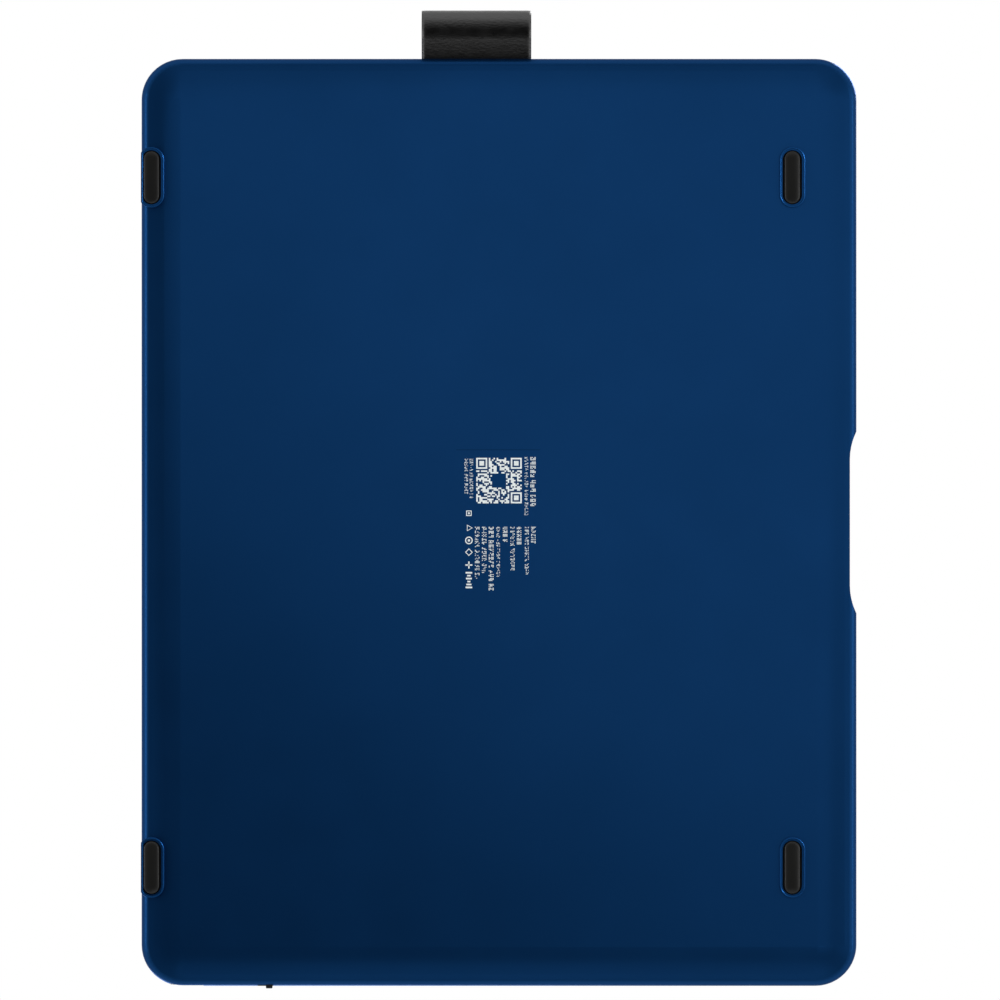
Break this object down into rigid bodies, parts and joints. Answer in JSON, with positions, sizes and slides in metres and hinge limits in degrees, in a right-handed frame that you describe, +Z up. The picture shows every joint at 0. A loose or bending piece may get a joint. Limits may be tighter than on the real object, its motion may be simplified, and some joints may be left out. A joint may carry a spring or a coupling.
{
  "type": "tablet keyboard case",
  "caption": "Closed keyboard case for an 11-inch tablet: keyboard base with rubber feet, finger notch and side pen loop under a hinged tablet cradle.",
  "frame": {"origin": "on the surface the feet stand on, under the middle of the whole object's length and depth, pen loop and switch knob included; the base's own middle is 6.375 mm towards +X", "axes": "+X is the user's right, along the long side; +Y is the rear, hinge side; +Z is up, through the lid"},
  "size_m": [0.267, 0.195, 0.0187],
  "materials": {
    "case_plastic": "satin soft-touch navy",
    "bumper": "matt black flexible bumper",
    "foot_rubber": "moulded black rubber",
    "strap_leather": "fine-grained black coated leather",
    "key_plastic": "matt black",
    "hinge_plastic": "fine-textured black",
    "black_plastic": "plain black",
    "touch_surface": "smooth navy",
    "steel": "plain steel",
    "plated_socket": "nickel-plated",
    "bearing_bronze": "sintered bronze",
    "membrane_film": "clear film with printed tracks",
    "circuit_board": "green solder mask",
    "battery_foil": "laminated foil pouch",
    "lead_insulation": "insulated flat lead",
    "flat_ribbon": "amber film",
    "light_lens": "frosted lens",
    "lining_fabric": "short-napped grey"
  },
  "bodies": {
    "base": {"bottom_shell": "case_plastic", "deck_frame": "case_plastic", "rubber_foot_front_left": "foot_rubber", "rubber_foot_front_right": "foot_rubber", "rubber_foot_rear_left": "foot_rubber", "rubber_foot_rear_right": "foot_rubber", "base_screws": "steel", "pen_loop": "strap_leather", "loop_rivets": "steel", "key_backplate": "steel", "membrane_sheet": "membrane_film", "key_scissors": "black_plastic", "main_board": "circuit_board", "battery_cell": "battery_foil", "battery_lead": "lead_insulation", "keyboard_ribbon": "flat_ribbon", "touchpad_ribbon": "flat_ribbon", "usb_c_socket": "plated_socket", "power_switch_body": "black_plastic", "status_lights": "light_lens", "base_magnets": "steel", "touchpad_bracket": "steel", "touchpad_switch": "steel", "hinge_post_left": "hinge_plastic", "hinge_post_right": "hinge_plastic", "hinge_pin_left": "steel", "hinge_pin_right": "steel", "hinge_screws": "steel"},
    "lid": {"lid_shell": "case_plastic", "lid_rim": "bumper", "lid_lining": "lining_fabric", "camera_ring": "black_plastic", "hinge_barrel": "hinge_plastic", "friction_sleeves": "bearing_bronze", "lid_screws": "steel"},
    "touchpad": {"touchpad_plate": "touch_surface", "touchpad_board": "circuit_board"},
    "power_switch_knob": {"power_switch_knob": "black_plastic"},
    "escape_key": {"escape_key": "key_plastic"},
    "function_row_keys": {"function_row_keys": "key_plastic"},
    "number_row_keys": {"number_row_keys": "key_plastic"},
    "backspace_key": {"backspace_key": "key_plastic"},
    "tab_key": {"tab_key": "key_plastic"},
    "upper_row_keys": {"upper_row_keys": "key_plastic"},
    "caps_key": {"caps_key": "key_plastic"},
    "home_row_keys": {"home_row_keys": "key_plastic"},
    "enter_key": {"enter_key": "key_plastic"},
    "left_shift_key": {"left_shift_key": "key_plastic"},
    "lower_row_keys": {"lower_row_keys": "key_plastic"},
    "right_shift_key": {"right_shift_key": "key_plastic"},
    "bottom_row_keys": {"bottom_row_keys": "key_plastic"},
    "space_key": {"space_key": "key_plastic"},
    "left_arrow_key": {"left_arrow_key": "key_plastic"},
    "up_arrow_key": {"up_arrow_key": "key_plastic"},
    "down_arrow_key": {"down_arrow_key": "key_plastic"},
    "right_arrow_key": {"right_arrow_key": "key_plastic"},
    "volume_up_pusher": {"volume_up_pusher": "bumper"},
    "volume_down_pusher": {"volume_down_pusher": "bumper"},
    "power_pusher": {"power_pusher": "bumper"}
  },
  "joints": [
    {"name": "lid_hinge", "type": "hinge", "parent": "base", "child": "lid", "pos_m": [0.00637, 0.0926, 0.0135], "axis": [-1, 0, 0], "range_deg": [0, 135]},
    {"name": "touchpad_click", "type": "hinge", "parent": "base", "child": "touchpad", "pos_m": [0.00637, -0.0263, 0.008], "axis": [1, 0, 0], "range_deg": [0, 0.35], "stiffness_Nm_per_rad": 15, "springref_deg": -0.11},
    {"name": "power_switch_slide", "type": "slide", "parent": "base", "child": "power_switch_knob", "axis": [0, 1, 0], "range_m": [0, 0.002]},
    {"name": "press_escape_key", "type": "slide", "parent": "base", "child": "escape_key", "axis": [0, 0, -1], "range_m": [0, 0.001], "stiffness_N_per_m": 600, "springref_m": -0.0006},
    {"name": "press_function_row_keys", "type": "slide", "parent": "base", "child": "function_row_keys", "axis": [0, 0, -1], "range_m": [0, 0.001], "stiffness_N_per_m": 600, "springref_m": -0.0006},
    {"name": "press_number_row_keys", "type": "slide", "parent": "base", "child": "number_row_keys", "axis": [0, 0, -1], "range_m": [0, 0.001], "stiffness_N_per_m": 600, "springref_m": -0.0006},
    {"name": "press_backspace_key", "type": "slide", "parent": "base", "child": "backspace_key", "axis": [0, 0, -1], "range_m": [0, 0.001], "stiffness_N_per_m": 600, "springref_m": -0.0006},
    {"name": "press_tab_key", "type": "slide", "parent": "base", "child": "tab_key", "axis": [0, 0, -1], "range_m": [0, 0.001], "stiffness_N_per_m": 600, "springref_m": -0.0006},
    {"name": "press_upper_row_keys", "type": "slide", "parent": "base", "child": "upper_row_keys", "axis": [0, 0, -1], "range_m": [0, 0.001], "stiffness_N_per_m": 600, "springref_m": -0.0006},
    {"name": "press_caps_key", "type": "slide", "parent": "base", "child": "caps_key", "axis": [0, 0, -1], "range_m": [0, 0.001], "stiffness_N_per_m": 600, "springref_m": -0.0006},
    {"name": "press_home_row_keys", "type": "slide", "parent": "base", "child": "home_row_keys", "axis": [0, 0, -1], "range_m": [0, 0.001], "stiffness_N_per_m": 600, "springref_m": -0.0006},
    {"name": "press_enter_key", "type": "slide", "parent": "base", "child": "enter_key", "axis": [0, 0, -1], "range_m": [0, 0.001], "stiffness_N_per_m": 600, "springref_m": -0.0006},
    {"name": "press_left_shift_key", "type": "slide", "parent": "base", "child": "left_shift_key", "axis": [0, 0, -1], "range_m": [0, 0.001], "stiffness_N_per_m": 600, "springref_m": -0.0006},
    {"name": "press_lower_row_keys", "type": "slide", "parent": "base", "child": "lower_row_keys", "axis": [0, 0, -1], "range_m": [0, 0.001], "stiffness_N_per_m": 600, "springref_m": -0.0006},
    {"name": "press_right_shift_key", "type": "slide", "parent": "base", "child": "right_shift_key", "axis": [0, 0, -1], "range_m": [0, 0.001], "stiffness_N_per_m": 600, "springref_m": -0.0006},
    {"name": "press_bottom_row_keys", "type": "slide", "parent": "base", "child": "bottom_row_keys", "axis": [0, 0, -1], "range_m": [0, 0.001], "stiffness_N_per_m": 600, "springref_m": -0.0006},
    {"name": "press_space_key", "type": "slide", "parent": "base", "child": "space_key", "axis": [0, 0, -1], "range_m": [0, 0.001], "stiffness_N_per_m": 600, "springref_m": -0.0006},
    {"name": "press_left_arrow_key", "type": "slide", "parent": "base", "child": "left_arrow_key", "axis": [0, 0, -1], "range_m": [0, 0.001], "stiffness_N_per_m": 600, "springref_m": -0.0006},
    {"name": "press_up_arrow_key", "type": "slide", "parent": "base", "child": "up_arrow_key", "axis": [0, 0, -1], "range_m": [0, 0.001], "stiffness_N_per_m": 600, "springref_m": -0.0006},
    {"name": "press_down_arrow_key", "type": "slide", "parent": "base", "child": "down_arrow_key", "axis": [0, 0, -1], "range_m": [0, 0.001], "stiffness_N_per_m": 600, "springref_m": -0.0006},
    {"name": "press_right_arrow_key", "type": "slide", "parent": "base", "child": "right_arrow_key", "axis": [0, 0, -1], "range_m": [0, 0.001], "stiffness_N_per_m": 600, "springref_m": -0.0006},
    {"name": "press_volume_up_pusher", "type": "slide", "parent": "lid", "child": "volume_up_pusher", "axis": [0, 1, 0], "range_m": [0, 0.0004], "stiffness_N_per_m": 3000, "springref_m": -0.0001},
    {"name": "press_volume_down_pusher", "type": "slide", "parent": "lid", "child": "volume_down_pusher", "axis": [0, 1, 0], "range_m": [0, 0.0004], "stiffness_N_per_m": 3000, "springref_m": -0.0001},
    {"name": "press_power_pusher", "type": "slide", "parent": "lid", "child": "power_pusher", "axis": [1, 0, 0], "range_m": [0, 0.0004], "stiffness_N_per_m": 3000, "springref_m": -0.0001}
  ]
}
